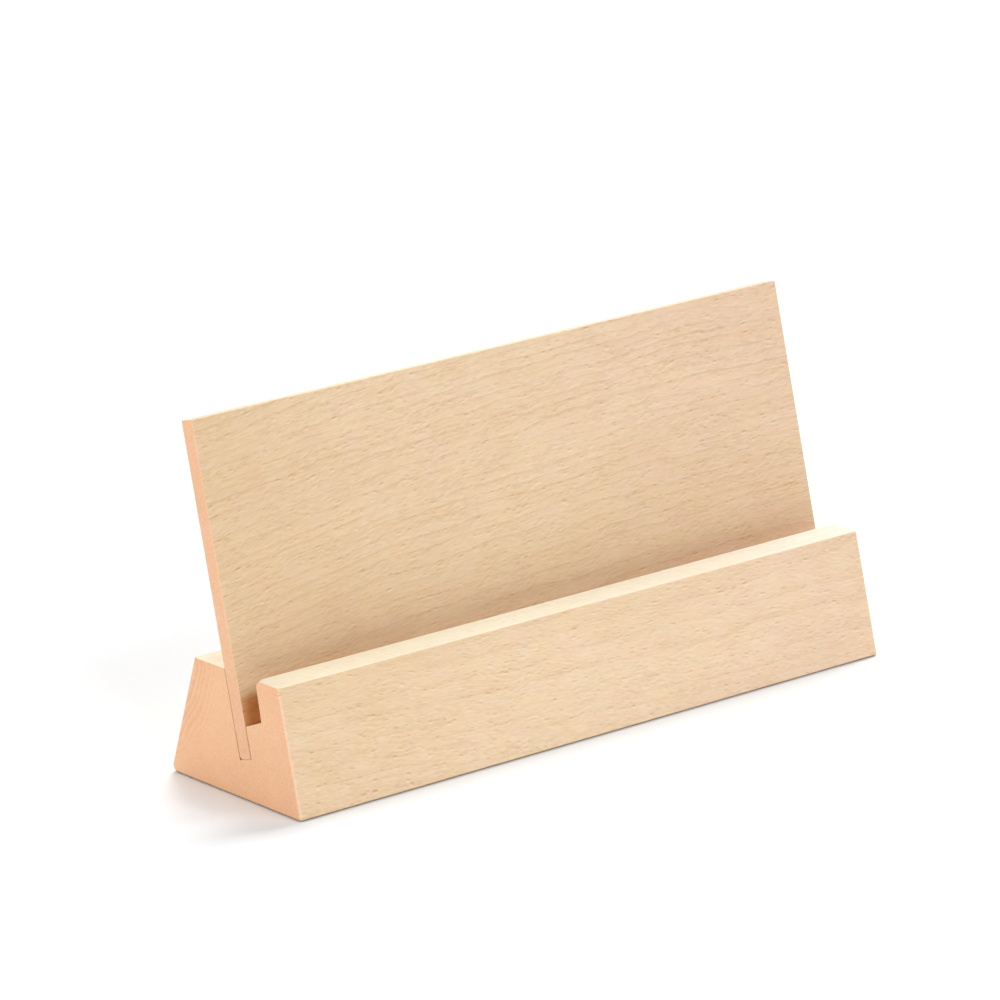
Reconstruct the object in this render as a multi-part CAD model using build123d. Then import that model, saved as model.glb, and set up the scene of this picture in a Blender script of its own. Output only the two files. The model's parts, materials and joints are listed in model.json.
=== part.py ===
"""Wooden photo block holder: a grooved beech block and a back panel that lifts out of it.

Millimetres, +Z up. The origin is the middle of the block's underside, +X runs along the
block and the photo faces -Y. Each piece is a section in the YZ plane, extruded along X.
"""
import os
from math import cos, radians, sin, tan

from build123d import *

# One length for both pieces, whose ends lie flush
length = 210.0

# Block
block_depth = 55.0  # across the underside
block_height = 34.7
front_slope = 15.0  # degrees from upright
back_slope = 17.0  # degrees from upright
lip_width = 9.3  # flat top of the lip in front of the groove

# Groove that the photo stands in, between the lip and the panel
groove_width = 8.2  # from the lip to the panel, at the top
groove_depth = 11.2  # from the top down to the foot of the lip's wall
groove_wall_lean = 12.0  # degrees from upright
groove_floor_fall = 22.5  # degrees from level, down towards the panel

# Panel, and the saw kerf that it stands in
panel_thickness = 4.6
panel_height = 91.4  # along the panel's own face
panel_lean = 14.7  # degrees from upright
kerf_depth = 22.7  # from the top straight down to the panel's front bottom edge
front_play = 0.4  # between the panel and the kerf's front wall
back_play = 0.05  # between the panel and the kerf's back wall, which it leans on

# Sanded edges
edge_radius = 0.3  # edges round the block's top, and round the panel's top and ends
end_radius = 0.8  # edges round the block's ends below its top, and its front bottom edge
heel_radius = 2.0  # back edge of the block's underside
panel_heel_radius = 1.2  # back edge of the panel's foot

# The lip's inner corners, rubbed off at both ends of the groove
corner_along = 2.2  # along the lip
corner_across = 1.5  # towards the front
corner_down = 1.0  # down the groove's wall
corner_radius = 0.7  # round the rubbed flat

# Corners of the block's section, before the cuts
front_foot = Vector(-block_depth / 2, 0)
back_foot = Vector(block_depth / 2, 0)
lip_front = front_foot + Vector(block_height * tan(radians(front_slope)), block_height)
back_top = back_foot + Vector(-block_height * tan(radians(back_slope)), block_height)

# Corners of the groove's top, and the panel's front bottom edge below its back one
lip_back = lip_front + Vector(lip_width, 0)
groove_back = lip_back + Vector(groove_width, 0)
panel_toe = groove_back - Vector(kerf_depth * tan(radians(panel_lean)), kerf_depth)

# The floor falls from the foot of the lip's wall until it meets the panel's face
through_panel = Vector(cos(radians(panel_lean)), -sin(radians(panel_lean)))
down_floor = Vector(cos(radians(groove_floor_fall)), -sin(radians(groove_floor_fall)))
wall_foot = lip_back - Vector(groove_depth * tan(radians(groove_wall_lean)), groove_depth)
floor_run = (panel_toe - wall_foot).dot(through_panel) / down_floor.dot(through_panel)
floor_back = wall_foot + down_floor * floor_run

# The panel's seat: X goes through the panel towards the back, and Y goes up its face
seat = Pos(panel_toe.X, panel_toe.Y) * Rot(Z=-panel_lean)
from_corner = (Align.MIN, Align.MIN)


def rounded(section, roundings):
    """Round the section's corner nearest to each point by the radius that goes with it."""
    for point, radius in roundings:
        corner = section.vertices().sort_by_distance(point)[0]
        section = fillet(corner, radius)
    return section


def sawn_length(section):
    """Extrude a section to the full length, centred on the middle."""
    return extrude(Plane.YZ * section, amount=length / 2, both=True)


def end_edges(piece):
    """The edges round both sawn ends."""
    return piece.faces().filter_by(Axis.X).edges()


def rub_corner(block, side):
    """Rub the lip's inner corner off at one end, flat first and then round. Side is 1 or -1."""
    corner = Vector(side * length / 2, lip_back.X, lip_back.Y)
    along = corner - Vector(side * corner_along, 0, 0)
    across = corner - Vector(0, corner_across, 0)
    down = corner - Vector(0, corner_down * tan(radians(groove_wall_lean)), corner_down)
    middle = (along + across + down) / 3
    outwards = (across - along).cross(down - along) * side
    flat = Plane(middle, x_dir=across - along, z_dir=outwards)
    reach = corner_along + corner_across
    block -= flat * Box(reach, reach, corner_down, align=(Align.CENTER, Align.CENTER, Align.MIN))
    return fillet(block.faces().sort_by_distance(middle)[0].edges(), corner_radius)


def base_block():
    """The block, with the photo groove and the slanted kerf behind it cut along its whole length."""
    blank = make_face(Polyline(front_foot, lip_front, back_top, back_foot, close=True))
    groove = make_face(Polyline(lip_back, wall_foot, floor_back, groove_back, close=True))
    kerf_width = front_play + panel_thickness + back_play
    # As tall as the panel, the kerf's cut runs out through the block's top
    kerf = seat * Pos(-front_play, 0) * Rectangle(kerf_width, panel_height, align=from_corner)
    block = sawn_length(rounded(blank, [(front_foot, end_radius), (back_foot, heel_radius)]))
    top = block.faces().sort_by(Axis.Z)[-1]
    block = fillet(end_edges(block) - top.edges(), end_radius)
    block -= sawn_length(groove + kerf)
    for side in (-1, 1):
        block = rub_corner(block, side)
    # Each of the top's long edges takes the edges that run on from it round the ends with it
    long_edges = block.edges().filter_by(Axis.X)
    top_edges = [
        long_edges.sort_by_distance((0, point.X, point.Y))[0]
        for point in (lip_front, lip_back, back_top)
    ]
    return fillet(top_edges, edge_radius)


def back_panel():
    """The board that stands in the kerf and leans back, with the photo resting against it."""
    section = seat * Rectangle(panel_thickness, panel_height, align=from_corner)
    heel = seat * Pos(panel_thickness, 0)
    top_front = seat * Pos(0, panel_height)
    top_back = seat * Pos(panel_thickness, panel_height)
    section = rounded(
        section,
        [
            (heel.position, panel_heel_radius),
            (top_front.position, edge_radius),
            (top_back.position, edge_radius),
        ],
    )
    panel = sawn_length(section)
    return fillet(end_edges(panel), edge_radius)


os.makedirs("parts", exist_ok=True)
export_step(base_block(), "parts/base_block.step")
export_step(back_panel(), "parts/back_panel.step")
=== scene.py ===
"""Looks of the wooden photo block holder: fine-sanded pale beech in soft studio light.

The scene is in metres. The grain is worked out in millimetres, in the axes of the log that each
piece was sawn from, so that every face shows the cut that it would show on the real wood.
"""
import json
from dataclasses import dataclass
from math import cos, pi, radians, sin

import bpy
from mathutils import Matrix, Vector

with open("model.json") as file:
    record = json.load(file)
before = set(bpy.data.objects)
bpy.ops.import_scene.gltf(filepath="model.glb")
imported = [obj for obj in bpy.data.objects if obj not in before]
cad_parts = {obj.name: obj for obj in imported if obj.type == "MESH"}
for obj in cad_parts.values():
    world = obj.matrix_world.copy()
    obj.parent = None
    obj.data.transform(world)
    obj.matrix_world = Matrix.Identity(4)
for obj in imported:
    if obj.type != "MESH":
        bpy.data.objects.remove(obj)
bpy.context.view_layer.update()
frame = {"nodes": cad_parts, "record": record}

MM = 0.001

# Camera, at the photo's viewing angle
CAMERA_AZIMUTH = -41.0448  # degrees; 0 looks along +Y
CAMERA_ELEVATION = 17.2368  # degrees above the horizon
CAMERA_DISTANCE = 1.86669
CAMERA_TARGET = Vector((-0.0120371, 0, 0.0633323))
CAMERA_LENS = 248.25  # mm
SENSOR_WIDTH = 36  # mm
NEAREST, FARTHEST = 0.01, 50.0  # how near and how far the camera sees

# Light: a level of 1 shows a colour as it is written, on a face that looks at the lamp
SKY_LEVEL = 0.10
FLOOR_SIZE = 6.0
FLOOR_PALE = (0.945, 0.96, 0.975)  # a little cool, against the wood's warm light on it


@dataclass
class Lamp:
    """A distant soft lamp: where it stands as seen from the object, its level and its width."""

    name: str
    azimuth: float  # degrees; 0 is in front of the object and 90 at its right
    elevation: float  # degrees above the horizon
    level: float
    width: float  # degrees across


LAMPS = [
    Lamp("front_light", 20, 34, 0.32, 36),
    Lamp("near_light", -15, 38, 0.195, 14),
    Lamp("left_light", 285, 25, 0.262, 45),
    Lamp("left_back_light", 240, 25, 0.213, 40),
    Lamp("right_light", 105, 40, 0.22, 25),
    Lamp("back_light", 125, 55, 0.51, 25),
    Lamp("far_light", 165, 45, 0.12, 25),
]


@dataclass
class Board:
    """How a piece lies in its log, whose x axis is the pith and whose z axis goes up the face."""

    material: str
    lean: float  # degrees that the log's z axis leans back
    fibre_climb: float  # degrees that the fibres climb towards +X
    fibre_bow: float  # how far the growth lines sag towards the ends, per mm of length squared
    pith: tuple  # mm, back and up from the part's origin, in the leaning axes
    reach: float  # mm from the pith to the face in front
    ring_width: float  # mm
    ring_strength: float
    fleck_strength: float
    shift: float  # mm along the log, so that no two boards show the same grain
    left_tan: float  # how much browner the wood is at its left end
    inner_tan: float  # how much browner the wood is towards the pith
    pale: tuple  # linear colour of the clear wood
    end_tint: tuple  # share of that colour on the sawn ends
    top_light_share: float  # how strongly painted top light turns the quarter-cut faces paler


BLOCK_BEECH = Board(
    material="block_beech",
    lean=0.0,
    fibre_climb=-5.4,
    fibre_bow=0.0,
    pith=(46.0, 27.0),
    reach=70.0,
    ring_width=1.7,
    ring_strength=0.5,
    fleck_strength=1.0,
    shift=310.0,
    left_tan=0.45,
    inner_tan=0.53,
    pale=(0.912, 0.742, 0.555),
    end_tint=(1.02, 0.788, 0.668),
    top_light_share=1.0,
)
PANEL_BEECH = Board(
    material="panel_beech",
    lean=14.7,
    fibre_climb=3.5,
    fibre_bow=0.00034,
    pith=(228.0, -62.0),
    reach=262.0,
    ring_width=1.4,
    ring_strength=0.75,
    fleck_strength=0.9,
    shift=0.0,
    left_tan=0.88,
    inner_tan=0.8,
    pale=(0.868, 0.689, 0.500),
    end_tint=(1.04, 0.82, 0.735),
    top_light_share=0.55,
)


@dataclass
class Grain:
    """A pattern of smooth noise, which sets in while the noise goes from low to high."""

    size: tuple  # mm along the fibres, along the growth ring and along the radius
    low: float
    high: float
    least: float = 0.0  # how strong the pattern is below low
    detail: float = 2.0


# Patches of colour in the clear wood
CLOUD = Grain((70.0, 22.0, 22.0), -0.3, 0.3)
PINK = Grain((8.0, 5.0, 5.0), -0.25, 0.25, detail=3.0)
YELLOW = Grain((9.0, 5.5, 5.5), -0.25, 0.25, detail=3.0)
YELLOW_SHIFT = 50.0  # mm along the log, so that yellow and pink don't fall together

# Where the growth lines are faint, and how they break into dashes
FAINT_LINES = Grain((45.0, 9.0, 6.0), -0.22, 0.25, least=0.25)
DASHES = Grain((4.0, 1.2, 1.2), -0.15, 0.15, least=0.45)

# Fine streaks: of the fibres, of the pores on the ends and, in patches, of the ripples
FIBRES = Grain((4.0, 0.3, 0.3), -0.3, 0.3, detail=3.0)
PORES = Grain((8.0, 0.7, 0.7), -0.2, 0.25, detail=3.0)
RIPPLES = Grain((2.4, 0.65, 0.65), -0.3, 0.3, detail=1.0)
RIPPLE_PATCHES = Grain((12.0, 5.0, 5.0), -0.2, 0.2, least=0.35)
RIPPLE_ASIDE = 0.6  # mm from a pale streak to the darker ones at its sides

# Growth rings
SWAY_SIZE = (16.0, 12.0, 12.0)  # mm along the log's own axes
FIBRE_SWAY = 2.5  # how far the fibres sway from their line
WAVER_SIZE = (70.0, 18.0, 18.0)  # mm
RING_WAVER = 2.2  # ring widths
UNEVEN_SIZE = (1.0, 1.0, 5.0)  # mm, used along the radius only
RING_UNEVEN = 2.4  # ring widths
LATEWOOD_SHARPNESS = 4.0
END_RING_SHARPNESS = 2.0
END_RING_STRENGTH = 0.62
END_RINGS = (42.0, 30.0)  # mm from the pith: from where to where the rings on the ends set in

# Ray flecks, in mm along the fibres, along the growth ring and along the radius
FLECK_CELL = (3.0, 1.1, 8.0)
FLECK_SIZE = (2.2, 0.5, 5.5)
FLECK_STRETCH = (0.6, 1.3)  # the smallest and the largest fleck, in fleck sizes
FLECK_EDGE = (1.15, 0.35)  # half sizes from a fleck's middle: where it begins and where it is full
FLECK_CHANCE = (0.1, 0.6)  # draws in a cell that give no fleck, and a whole one
FAINTEST_FLECK = 0.2
EARLYWOOD_FLECK = 0.45  # strength outside the latewood
FLECK_LAYERS = (0.0, 37.5)  # cells that each layer of flecks is shifted by
GLINT_BELOW = 0.5  # mm from a fleck down to its pale side, where a highlight is painted

# Shares of the clear wood's colour, and of the light and shade painted on it
TAN_TINT = (0.932, 0.89, 0.82)
ROSY_TINT = (0.985, 0.965, 1.0)
LATEWOOD_TINT = (0.80, 0.70, 0.58)
CLOUD_TINT = (0.965, 0.94, 0.915)
PINK_TINT = (1.0, 0.955, 0.965)
YELLOW_TINT = (1.0, 0.995, 0.92)
RIPPLE_TINT = (0.90, 0.875, 0.815)
FIBRE_TINT = (0.93, 0.90, 0.86)
FLECK_TINT = (0.77, 0.67, 0.53)
# Painted highlight on the pale side of each fleck
GLINT_HIGHLIGHT_TINT = (1.12, 1.16, 1.21)
PORE_TINT = (0.94, 0.89, 0.84)
# Painted top light: the upward-facing quarter-cut faces turn paler
TOP_LIGHT_TINT = (1.06, 1.29, 1.53)
# Paler rounded edges of the sawn ends: partly sanding wear, partly a painted highlight
ARRIS_WEAR_AND_HIGHLIGHT_TINT = (1.06, 1.08, 1.10)
# Painted shade, warm and brown, where the groove's walls enclose its foot
GROOVE_SHADE_TINT = (0.92, 0.62, 0.36)
# Painted contact shadow along the rounded foot of the block
FOOT_SHADE_TINT = (0.38, 0.34, 0.30)

# Where the clear wood changes along the part, and inwards from the face, in mm
TAN_LEFT = (-20.0, -95.0)
ROSY_RIGHT = (0.0, 95.0)
TAN_INWARDS = (15.0, -14.0)

# How squarely a face looks along an axis: where a cut, an edge or a flat begins and is full
END_FACING = (0.55, 0.95)
RADIAL_FACING = (0.75, 0.98)
LONG_FACING = (0.6, 0.3)
ARRIS_FROM_SIDE = (0.12, 0.4)
ARRIS_FROM_END = (0.97, 0.8)
ROUND_FOOT = (0.985, 0.93)

# Strength that the marks of the long grain keep on the other cuts
MARKS_ON_ENDS = 0.25
MARKS_ON_RADIAL = 0.35

# Painted shade at the foot and in the groove, in mm
FOOT_LINE = 0.8  # how far the painted contact shadow climbs up the block's rounded foot
FOOT_FULL = 0.32  # how far it is at its darkest
GROOVE_FADE = 2.0  # height over which the painted shade in the groove fades out
GROOVE_LOWEST = (6.0, 8.0)  # heights that it sets in between, below the kerf's floor
GROOVE_BEFORE = 1.6  # forwards from the box that is free in the groove's foot to the wood
GROOVE_BEHIND = 3.2  # backwards from that box to the wood
GROOVE_EDGE = 0.4  # over which the painted shade ends to the front and to the back
GROOVE_REACH = 12.0  # how near the groove's other walls have to be
GROOVE_OPEN = (0.85, 0.6)  # open share of the view from a wall: where the painted shade begins and is full
GROOVE_RAYS = 4  # that look for the other walls

# Finish
ROUGHNESS = 0.58
FIBRE_ROUGHNESS = 0.16
FLECK_ROUGHNESS = 0.08
SPECULAR = 0.35
BUMP_STRENGTH = 0.25
BUMP_HEIGHT = 0.1  # mm, the depth of a fleck
FIBRE_HEIGHT = 0.5  # share of it
RIPPLE_DEPTH = 0.4  # share of it


class Field:
    """A number that varies over a surface. Arithmetic on it adds shader nodes."""

    def __init__(self, tree, socket):
        self.tree = tree
        self.socket = socket

    def math(self, operation, *others):
        """The result of an operation on this field and others, or plain numbers."""
        node = self.tree.nodes.new("ShaderNodeMath")
        node.operation = operation
        for socket, value in zip(node.inputs, (self, *others)):
            plug(self.tree, value, socket)
        return Field(self.tree, node.outputs[0])

    def __add__(self, other):
        return self.math("ADD", other)

    def __sub__(self, other):
        return self.math("SUBTRACT", other)

    def __mul__(self, other):
        return self.math("MULTIPLY", other)

    def __truediv__(self, other):
        return self.math("DIVIDE", other)

    def __pow__(self, other):
        return self.math("POWER", other)

    def step(self, low, high, start=0.0, end=1.0):
        """Go smoothly from start to end while this field goes from low to high."""
        node = self.tree.nodes.new("ShaderNodeMapRange")
        node.interpolation_type = "SMOOTHSTEP"
        names = ("Value", "From Min", "From Max", "To Min", "To Max")
        for name, value in zip(names, (self, low, high, start, end)):
            plug(self.tree, value, node.inputs[name])
        return Field(self.tree, node.outputs["Result"])

    def between(self, low, high):
        """Go evenly from low to high while this field goes from 0 to 1."""
        return self * (high - low) + low


def plug(tree, value, socket):
    """Link a field to a socket, or set the socket to a plain value."""
    if isinstance(value, Field):
        tree.links.new(value.socket, socket)
    else:
        socket.default_value = value


def vector(tree, x, y, z):
    """The vector that three fields or plain numbers make."""
    node = tree.nodes.new("ShaderNodeCombineXYZ")
    for socket, value in zip(node.inputs, (x, y, z)):
        plug(tree, value, socket)
    return Field(tree, node.outputs[0])


def parts_of(field):
    """The three numbers of a vector or a colour."""
    node = field.tree.nodes.new("ShaderNodeSeparateXYZ")
    plug(field.tree, field, node.inputs[0])
    return [Field(field.tree, socket) for socket in node.outputs]


def noise(tree, place, size, detail=2.0):
    """Smooth noise about 0, from -0.5 to 0.5, whose size is given in mm for each axis."""
    node = tree.nodes.new("ShaderNodeTexNoise")
    where = vector(tree, *(axis / length for axis, length in zip(place, size)))
    plug(tree, where, node.inputs["Vector"])
    node.inputs["Scale"].default_value = 1.0
    node.inputs["Detail"].default_value = detail
    return Field(tree, node.outputs["Fac"]) - 0.5


def pattern(tree, place, grain):
    """How strong a grain is at a place, up to 1."""
    return noise(tree, place, grain.size, grain.detail).step(grain.low, grain.high, grain.least)


def tinted(tree, colour, tint, share):
    """The colour times the tint, where share is 1, and as it was, where share is 0."""
    node = tree.nodes.new("ShaderNodeMix")
    node.data_type = "RGBA"
    node.blend_type = "MULTIPLY"
    plug(tree, share, node.inputs["Factor"])
    plug(tree, colour if isinstance(colour, Field) else (*colour, 1.0), node.inputs["A"])
    plug(tree, (*tint, 1.0), node.inputs["B"])
    return Field(tree, node.outputs["Result"])


def log_axes(board):
    """The log's axes in the part's frame, and the pith's point at the middle of the length."""
    leaning = Matrix.Rotation(radians(-board.lean), 3, "X")
    turn = leaning @ Matrix.Rotation(radians(-board.fibre_climb), 3, "Y")
    pith = leaning @ Vector((0, *board.pith)) * MM
    return turn, pith


def place_in_log(tree, board):
    """Where a surface point lies in its log: mm along the pith, along the ring and outwards."""
    turn, pith = log_axes(board)
    coordinates = tree.nodes.new("ShaderNodeTexCoord")
    mapping = tree.nodes.new("ShaderNodeMapping")
    mapping.vector_type = "TEXTURE"
    mapping.inputs["Location"].default_value = pith
    mapping.inputs["Rotation"].default_value = turn.to_euler("XYZ")
    mapping.inputs["Scale"].default_value = (MM, MM, MM)
    tree.links.new(coordinates.outputs["Object"], mapping.inputs["Vector"])
    along, back, up = parts_of(Field(tree, mapping.outputs["Vector"]))
    sway = noise(tree, (along, back, up), SWAY_SIZE, detail=1.0) * FIBRE_SWAY
    up = up + along * along * board.fibre_bow + sway
    radius = (back * back + up * up) ** 0.5
    angle = up.math("ARCTAN2", back * -1.0)
    return along + board.shift, angle * board.reach, radius


def place_in_part(tree):
    """Where a surface point lies in the part's frame, in mm."""
    coordinates = tree.nodes.new("ShaderNodeTexCoord")
    return [axis / MM for axis in parts_of(Field(tree, coordinates.outputs["Object"]))]


def facing(tree, axis):
    """How squarely a surface faces along an axis, either way."""
    coordinates = tree.nodes.new("ShaderNodeTexCoord")
    node = tree.nodes.new("ShaderNodeVectorMath")
    node.operation = "DOT_PRODUCT"
    tree.links.new(coordinates.outputs["Normal"], node.inputs[0])
    node.inputs[1].default_value = axis
    return Field(tree, node.outputs["Value"]).math("ABSOLUTE")


def growth(tree, place, board):
    """How far through its ring a point lies, from 0 to 1. The rings waver and vary in width."""
    radius = place[2]
    waver = noise(tree, place, WAVER_SIZE) * (board.ring_width * RING_WAVER)
    uneven = noise(tree, (0.0, 0.0, radius), UNEVEN_SIZE) * (board.ring_width * RING_UNEVEN)
    return ((radius + waver + uneven) / board.ring_width).math("FRACT")


def latewood(tree, place, ring):
    """The darker end of each growth ring, faint in places and broken into dashes."""
    faint = pattern(tree, place, FAINT_LINES)
    return ring**LATEWOOD_SHARPNESS * faint * pattern(tree, place, DASHES)


def flecks(tree, place, ring, salt):
    """Spindles, one at most in each cell and most in latewood, and a painted highlight beside
    each.
    """
    scattered = tree.nodes.new("ShaderNodeTexVoronoi")
    where = vector(tree, *(axis / length + salt for axis, length in zip(place, FLECK_CELL)))
    plug(tree, where, scattered.inputs["Vector"])
    scattered.inputs["Scale"].default_value = 1.0
    middle = parts_of(Field(tree, scattered.outputs["Position"]))
    chance, depth, stretch = parts_of(Field(tree, scattered.outputs["Color"]))
    along, arc, radial = (
        (here - centre) * length
        for here, centre, length in zip(parts_of(where), middle, FLECK_CELL)
    )
    in_latewood = (ring**2.0).between(EARLYWOOD_FLECK, 1.0)
    strength = chance.step(*FLECK_CHANCE) * depth.between(FAINTEST_FLECK, 1.0) * in_latewood

    def spindle(*offsets):
        squares = [(offset * (2.0 / size)) ** 2.0 for offset, size in zip(offsets, FLECK_SIZE)]
        reach = (squares[0] + squares[1] + squares[2]) ** 0.5
        return (reach / stretch.between(*FLECK_STRETCH)).step(*FLECK_EDGE) * strength

    return spindle(along, arc, radial), spindle(along, arc + GLINT_BELOW, radial)


def ripples(tree, place):
    """Short streaks, pale and dark by turns, where the sanded surface cuts the vessels."""
    along, arc, radius = place
    streak, above, below = (
        noise(tree, (along, arc + aside, radius), RIPPLES.size, RIPPLES.detail)
        for aside in (0.0, RIPPLE_ASIDE, -RIPPLE_ASIDE)
    )
    against_sides = streak - (above + below) * 0.5
    patches = pattern(tree, place, RIPPLE_PATCHES)
    return against_sides.step(RIPPLES.low, RIPPLES.high) * patches


def clear_wood(tree, place, board, long_grain):
    """The wood without its marks: browner at the left and inwards, pinker at the right, patchy."""
    along, arc, radius = place
    from_middle = along - board.shift
    tan_left = from_middle.step(*TAN_LEFT) * board.left_tan
    tan_inner = radius.step(*(board.reach + depth for depth in TAN_INWARDS)) * board.inner_tan
    yellow = pattern(tree, (along + YELLOW_SHIFT, arc, radius), YELLOW)
    colour = tinted(tree, board.pale, TAN_TINT, (tan_left + tan_inner) * long_grain)
    colour = tinted(tree, colour, ROSY_TINT, from_middle.step(*ROSY_RIGHT) * long_grain)
    colour = tinted(tree, colour, CLOUD_TINT, pattern(tree, place, CLOUD))
    colour = tinted(tree, colour, PINK_TINT, pattern(tree, place, PINK))
    return tinted(tree, colour, YELLOW_TINT, yellow)


def enclosed(tree):
    """1 where wood lies close in front of a surface, all round, and 0 where it is open."""
    node = tree.nodes.new("ShaderNodeAmbientOcclusion")
    node.samples = GROOVE_RAYS
    node.inputs["Distance"].default_value = GROOVE_REACH * MM
    return Field(tree, node.outputs["AO"]).step(*GROOVE_OPEN)


def in_groove_shade(tree):
    """Where painted shade goes: 1 on the long faces round the groove's foot, as far up as they lie
    in shade.
    """
    openings = frame["record"]["physics"]["openings"]
    boxes = {opening["name"]: opening["box_m"] for opening in openings}
    low, high = (Vector(corner) / MM for corner in boxes["photo_groove_foot"])
    _, y, z = place_in_part(tree)
    front, back = low.y - GROOVE_BEFORE, high.y + GROOVE_BEHIND
    across = y.step(front - GROOVE_EDGE, front) * y.step(back + GROOVE_EDGE, back)
    # The underside, which the floor encloses, stays clear
    upwards = z.step(high.z, high.z - GROOVE_FADE) * z.step(*GROOVE_LOWEST)
    return across * upwards * facing(tree, (1, 0, 0)).step(*LONG_FACING) * enclosed(tree)


def in_foot_shade(tree):
    """Where the painted contact shadow goes: 1 on the rounded edges that the block stands on, and
    0 on its flat underside.
    """
    z = place_in_part(tree)[2]
    return z.step(FOOT_LINE, FOOT_FULL) * facing(tree, (0, 0, 1)).step(*ROUND_FOOT)


def on_arris(tree):
    """Where wear and a painted highlight go: 1 along the rounded edges of the sawn ends."""
    across = facing(tree, (1, 0, 0))
    return across.step(*ARRIS_FROM_SIDE) * across.step(*ARRIS_FROM_END)


def beech(board):
    """Fine-sanded beech, sawn from its log as the board says, with painted light and shade on it.
    """
    material = bpy.data.materials.new(board.material)
    material.use_nodes = True
    tree = material.node_tree
    shader = tree.nodes["Principled BSDF"]
    turn, _ = log_axes(board)
    place = place_in_log(tree, board)

    end_grain = facing(tree, turn.col[0]).step(*END_FACING)
    radial_cut = facing(tree, turn.col[2]).step(*RADIAL_FACING)
    long_grain = end_grain.step(0.0, 1.0, 1.0, MARKS_ON_ENDS)
    flat_cut = long_grain * radial_cut.step(0.0, 1.0, 1.0, MARKS_ON_RADIAL)

    ring = growth(tree, place, board)
    rings = latewood(tree, place, ring) * long_grain
    end_rings = ring**END_RING_SHARPNESS * end_grain * place[2].step(*END_RINGS)
    layers = [flecks(tree, place, ring, shift) for shift in FLECK_LAYERS]
    dark, glint = (one.math("MAXIMUM", two) * flat_cut for one, two in zip(*layers))
    fibres = noise(tree, place, FIBRES.size, FIBRES.detail)
    streaks = ripples(tree, place)

    colour = clear_wood(tree, place, board, long_grain)
    colour = tinted(tree, colour, LATEWOOD_TINT, rings * board.ring_strength)
    colour = tinted(tree, colour, RIPPLE_TINT, streaks * flat_cut)
    colour = tinted(tree, colour, FIBRE_TINT, fibres.step(FIBRES.low, FIBRES.high) * long_grain)
    colour = tinted(tree, colour, FLECK_TINT, dark * board.fleck_strength)
    # The pale side of each fleck is a painted highlight
    colour = tinted(tree, colour, GLINT_HIGHLIGHT_TINT, glint)
    # Painted top light on the upward-facing faces
    colour = tinted(tree, colour, TOP_LIGHT_TINT, radial_cut * board.top_light_share)
    colour = tinted(tree, colour, board.end_tint, end_grain)
    colour = tinted(tree, colour, PORE_TINT, pattern(tree, place, PORES) * end_grain)
    colour = tinted(tree, colour, LATEWOOD_TINT, end_rings * END_RING_STRENGTH)
    # Wear and a painted highlight along the ends' rounded edges
    colour = tinted(tree, colour, ARRIS_WEAR_AND_HIGHLIGHT_TINT, on_arris(tree))
    # Painted shade in the groove's enclosed foot
    colour = tinted(tree, colour, GROOVE_SHADE_TINT, in_groove_shade(tree))
    # Painted contact shadow along the block's rounded foot
    colour = tinted(tree, colour, FOOT_SHADE_TINT, in_foot_shade(tree))
    plug(tree, colour, shader.inputs["Base Color"])

    roughness = fibres * FIBRE_ROUGHNESS + dark * FLECK_ROUGHNESS + ROUGHNESS
    plug(tree, roughness, shader.inputs["Roughness"])
    shader.inputs["Specular IOR Level"].default_value = SPECULAR

    bump = tree.nodes.new("ShaderNodeBump")
    bump.inputs["Strength"].default_value = BUMP_STRENGTH
    bump.inputs["Distance"].default_value = BUMP_HEIGHT * MM
    plug(tree, fibres * FIBRE_HEIGHT - streaks * RIPPLE_DEPTH - dark, bump.inputs["Height"])
    tree.links.new(bump.outputs["Normal"], shader.inputs["Normal"])
    return material


def dress(node, board):
    """Give a CAD node its board's wood in each material slot."""
    piece = frame["nodes"][node]
    material = beech(board)
    for slot in piece.material_slots:
        slot.material = material


def towards(azimuth, elevation):
    """The direction in which something stands, as seen from the object. The angles are degrees."""
    turn, rise = radians(azimuth), radians(elevation)
    return Vector((sin(turn) * cos(rise), -cos(turn) * cos(rise), sin(rise)))


def camera():
    """The camera, which sees the object as the photo does."""
    back = towards(CAMERA_AZIMUTH, CAMERA_ELEVATION)
    data = bpy.data.cameras.new("camera")
    data.sensor_fit = "HORIZONTAL"
    data.sensor_width = SENSOR_WIDTH
    data.lens = CAMERA_LENS
    data.clip_start, data.clip_end = NEAREST, FARTHEST
    made = bpy.data.objects.new("camera", data)
    made.location = CAMERA_TARGET + back * CAMERA_DISTANCE
    made.rotation_mode = "QUATERNION"
    made.rotation_quaternion = (-back).to_track_quat("-Z", "Y")
    bpy.context.scene.collection.objects.link(made)
    bpy.context.scene.camera = made


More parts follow.
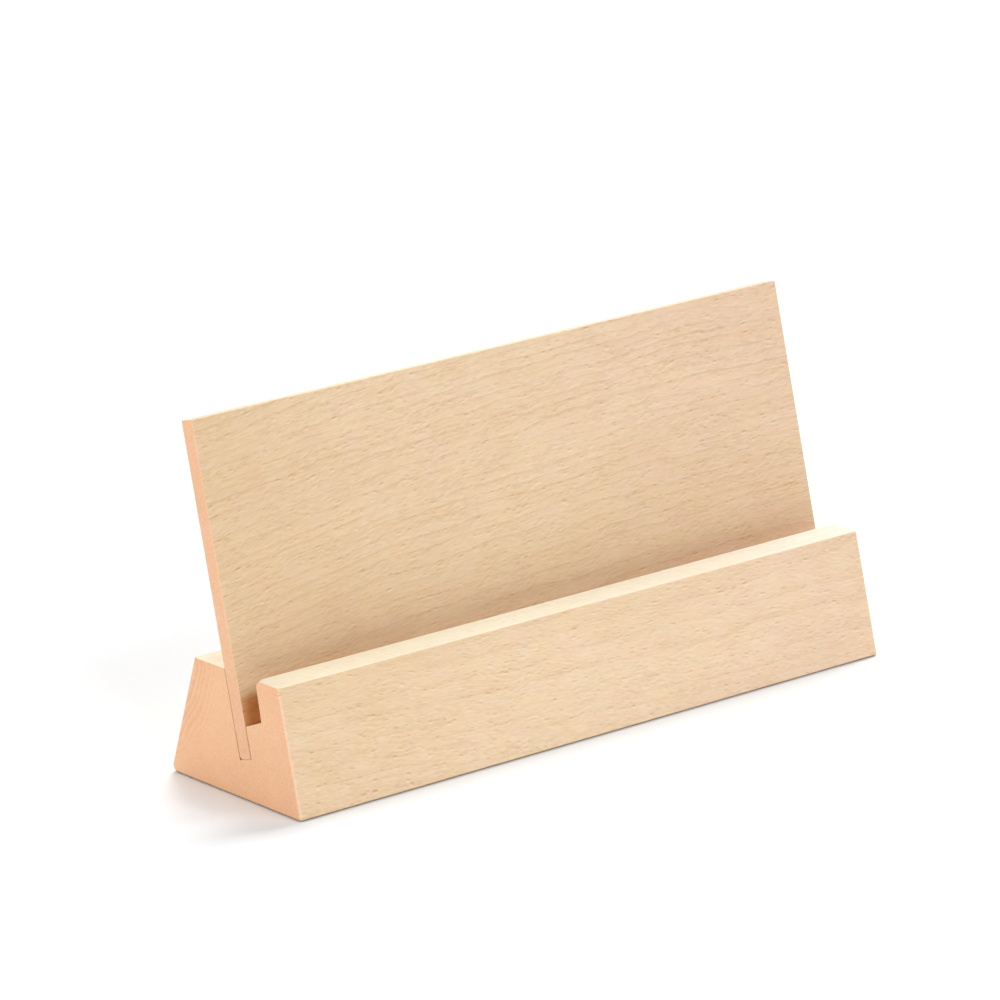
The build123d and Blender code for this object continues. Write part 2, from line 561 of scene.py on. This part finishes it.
def lamps():
    """The soft lamps round the object."""
    for lamp in LAMPS:
        data = bpy.data.lights.new(lamp.name, "SUN")
        data.energy = lamp.level * pi
        data.angle = radians(lamp.width)
        made = bpy.data.objects.new(lamp.name, data)
        made.rotation_mode = "QUATERNION"
        made.rotation_quaternion = towards(lamp.azimuth, lamp.elevation).to_track_quat("Z", "Y")
        bpy.context.scene.collection.objects.link(made)


def seen_directly(tree):
    """1 for what is seen, also in a reflection or through glass, and 0 for light on its way."""
    path = tree.nodes.new("ShaderNodeLightPath")
    camera_ray = Field(tree, path.outputs["Is Camera Ray"])
    glossy_ray = Field(tree, path.outputs["Is Glossy Ray"])
    transmission_ray = Field(tree, path.outputs["Is Transmission Ray"])
    return camera_ray.math("MAXIMUM", glossy_ray).math("MAXIMUM", transmission_ray)


def sky():
    """White to look at, and an even light from all round at the sky's own level."""
    world = bpy.data.worlds.new("studio")
    bpy.context.scene.world = world
    world.use_nodes = True
    tree = world.node_tree
    background = tree.nodes["Background"]
    background.inputs["Color"].default_value = (1, 1, 1, 1)
    plug(tree, seen_directly(tree).step(0.0, 1.0, SKY_LEVEL, 1.0), background.inputs["Strength"])


def floor():
    """A plain pale floor that keeps the shadow."""
    half = FLOOR_SIZE / 2
    mesh = bpy.data.meshes.new("floor")
    corners = [(-half, -half, 0), (half, -half, 0), (half, half, 0), (-half, half, 0)]
    mesh.from_pydata(corners, [], [(0, 1, 2, 3)])
    made = bpy.data.objects.new("floor", mesh)
    bpy.context.scene.collection.objects.link(made)
    material = bpy.data.materials.new("floor")
    material.use_nodes = True
    shader = material.node_tree.nodes["Principled BSDF"]
    shader.inputs["Roughness"].default_value = 1.0
    shader.inputs["Specular IOR Level"].default_value = 0.0
    shader.inputs["Base Color"].default_value = (*FLOOR_PALE, 1.0)
    mesh.materials.append(material)


dress("base_block", BLOCK_BEECH)
dress("back_panel", PANEL_BEECH)
camera()
sky()
lamps()
floor()
bpy.context.scene.view_settings.view_transform = "Standard"
